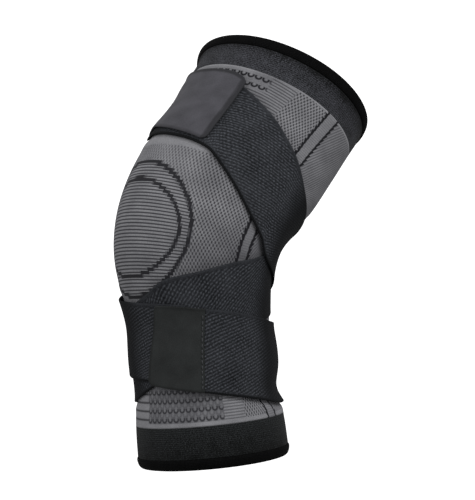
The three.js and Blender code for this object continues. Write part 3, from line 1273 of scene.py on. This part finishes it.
@dataclass
class Straps:
    """The two elastic straps, the fastening tabs at the falling strap's ends, and their stitches."""

    leg: LegForm

    def build(self) -> None:
        """Builds and dresses both straps and both tabs."""
        elastic = TwillElastic().material()
        upper = BrushedTab("brushed_tab_upper", "2f2f33", "5f5e65", 0.45).material()
        lower = BrushedTab("brushed_tab_lower", "131515", "363939").material()
        thread = SewingThread().material()
        leg, slot = self.leg, "charcoal_elastic"
        rising = StrapPiece(leg, "rising_strap", slot, elastic, RISING, 45, 45, -384, -384, 1.2, (0.05, 0.4))
        rising.build(["sleeve_body"])
        seam = math.degrees(2 * 0.02 / KNEE_DEPTH)
        StrapPiece(
            leg, "falling_strap", slot, elastic, FALLING,
            -38 - seam, -38 - seam, -665 + seam, -660.5 + seam, 1.2, (0.05, 0.54),
        ).build(["sleeve_body", "rising_strap"])
        StrapPiece(
            leg, "upper_hook_tab", "hook_fabric", upper, FALLING, 38, 40, -38, -38, 1.4,
            (0.05, 0.092), Lie.LAID, FreeEnd.START, step=0.8, curl=0.25,
        ).build(["rising_strap"])
        stitches = SeamStitches(leg, "lower_hook_tab", slot, thread, FALLING, -666.5, -662.0, 1.4).build()
        StrapPiece(
            leg, "lower_hook_tab", "hook_fabric", lower, FALLING, -665, -660.5, -708.5, -697, 1.4,
            (0.05, 0.04), Lie.LAID, FreeEnd.END, step=0.7, curl=0.2,
        ).build(["falling_strap"], (stitches,))


@dataclass(frozen=True)
class Studio:
    """A plain white studio: pale floor, white backdrop, soft key light and the camera."""

    target: tuple[float, float, float] = (0.0, 26.07, 1.34)
    azimuth: float = 55.5
    elevation: float = 0.23
    roll: float = -5.37
    distance: float = 1230.75
    focal_pixels: float = 1710.7
    picture_height: float = 500.0
    floor_drop: float = 0.45
    reach: float = 12.0

    def direction(self, azimuth: float, elevation: float) -> Vector:
        """Unit vector from the object to a place at that azimuth and elevation, in degrees."""
        a, e = math.radians(azimuth), math.radians(elevation)
        return Vector((math.sin(a) * math.cos(e), -math.cos(a) * math.cos(e), math.sin(e)))

    def camera(self) -> None:
        """Sets the camera at the picture's angle."""
        back = self.direction(self.azimuth, self.elevation)
        a = math.radians(self.azimuth)
        right = Vector((math.cos(a), math.sin(a), 0))
        turned = Matrix((right, back.cross(right), back)).transposed().to_4x4()
        data = bpy.data.cameras.new("picture_camera")
        data.sensor_fit = "VERTICAL"
        data.sensor_height = 36.0
        data.lens = self.focal_pixels / self.picture_height * data.sensor_height
        camera = add_object("picture_camera", data)
        place = Matrix.Translation((Vector(self.target) + back * self.distance) * MM)
        camera.matrix_world = place @ turned @ Matrix.Rotation(math.radians(self.roll), 4, "Z")
        bpy.context.scene.camera = camera

    def lamp(self, name: str, azimuth: float, elevation: float, size: float, power: float) -> None:
        """Adds a square soft light that faces the object from 2 m away.

        Args:
            name: Its name.
            azimuth: Its direction round the object, in degrees.
            elevation: Its height over the level, in degrees.
            size: Its side, in metres.
            power: Its power, in watts.
        """
        data = bpy.data.lights.new(name, "AREA")
        data.size = size
        data.energy = power
        lamp = add_object(name, data)
        way = self.direction(azimuth, elevation)
        lamp.location = Vector(self.target) * MM + way * 2.0
        lamp.rotation_euler = way.to_track_quat("Z", "Y").to_euler()

    def backdrop(self) -> None:
        """Builds the floor and the white wall and ceiling round it, seen by the camera alone."""
        sides = 48
        rings = [(self.reach * share, -self.floor_drop) for share in (0.0, 0.5, 1.0)]
        rises = np.linspace(0.05, math.pi / 2, 8)
        wall = [(self.reach * math.cos(t), self.reach * math.sin(t)) for t in rises]
        for name, cut, glow in (("floor", rings, 1.2), ("backdrop", [rings[-1], *wall], 1.3)):
            verts, faces = [], []
            for i, (radius, z) in enumerate(cut):
                for k in range(sides):
                    angle = 2 * math.pi * k / sides
                    verts.append((radius * math.cos(angle), radius * math.sin(angle), z))
                    if i > 0:
                        m = (k + 1) % sides
                        below, here = (i - 1) * sides, i * sides
                        faces.append([below + k, below + m, here + m, here + k])
            piece = mesh_object(name, np.array(verts) / MM, faces)
            piece.data.materials.append(self.white(name, glow))
            for ray in ("diffuse", "glossy", "transmission", "volume_scatter", "shadow"):
                setattr(piece, f"visible_{ray}", False)

    def white(self, name: str, glow: float) -> Material:
        """Makes matt white studio paper, evenly lit.

        Args:
            name: The sheet that it is for.
            glow: How bright it is.

        Returns:
            The material.
        """
        material = bpy.data.materials.new(f"white_paper_{name}")
        material.use_nodes = True
        tree = material.node_tree
        tree.nodes.clear()
        light = add_node(tree, "Emission", {"Color": (1, 1, 1, 1), "Strength": glow * 1.05})
        add_node(tree, "OutputMaterial", {0: light.outputs[0]})
        return material

    def ambient(self, above: float, below: float) -> None:
        """Sets a soft light from all round.

        Args:
            above: Its strength from overhead.
            below: Its strength from underneath.
        """
        world = bpy.data.worlds.new("studio_air")
        world.use_nodes = True
        tree = world.node_tree
        tree.nodes.clear()
        where = add_node(tree, "TexCoord")
        parts = add_node(tree, "SeparateXYZ", {0: where.outputs["Generated"]})
        up = Term(parts.outputs[2]).kept(0.5, 0.5)
        strength = up.blend(below, above)
        glow = add_node(tree, "Background", {"Color": (1, 1, 1, 1), "Strength": strength})
        add_node(tree, "OutputWorld", {0: glow.outputs[0]})
        bpy.context.scene.world = world

    def build(self) -> None:
        """Sets up the camera, the backdrop and the lights."""
        bpy.context.scene.view_settings.view_transform = "Standard"
        self.camera()
        self.backdrop()
        self.ambient(0.5, 0.22)
        self.lamp("key_light", 96.0, 38.0, 1.6, 21.0)
        self.lamp("fill_light", 0.0, 20.0, 1.6, 9.0)


def main() -> None:
    """Builds the sleeve, its straps and the studio."""
    logging.basicConfig(level=logging.INFO, format="%(message)s")
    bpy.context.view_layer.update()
    leg = LegForm()
    Sleeve(leg).build()
    Straps(leg).build()
    Studio().build()


if __name__ == "__main__":
    main()
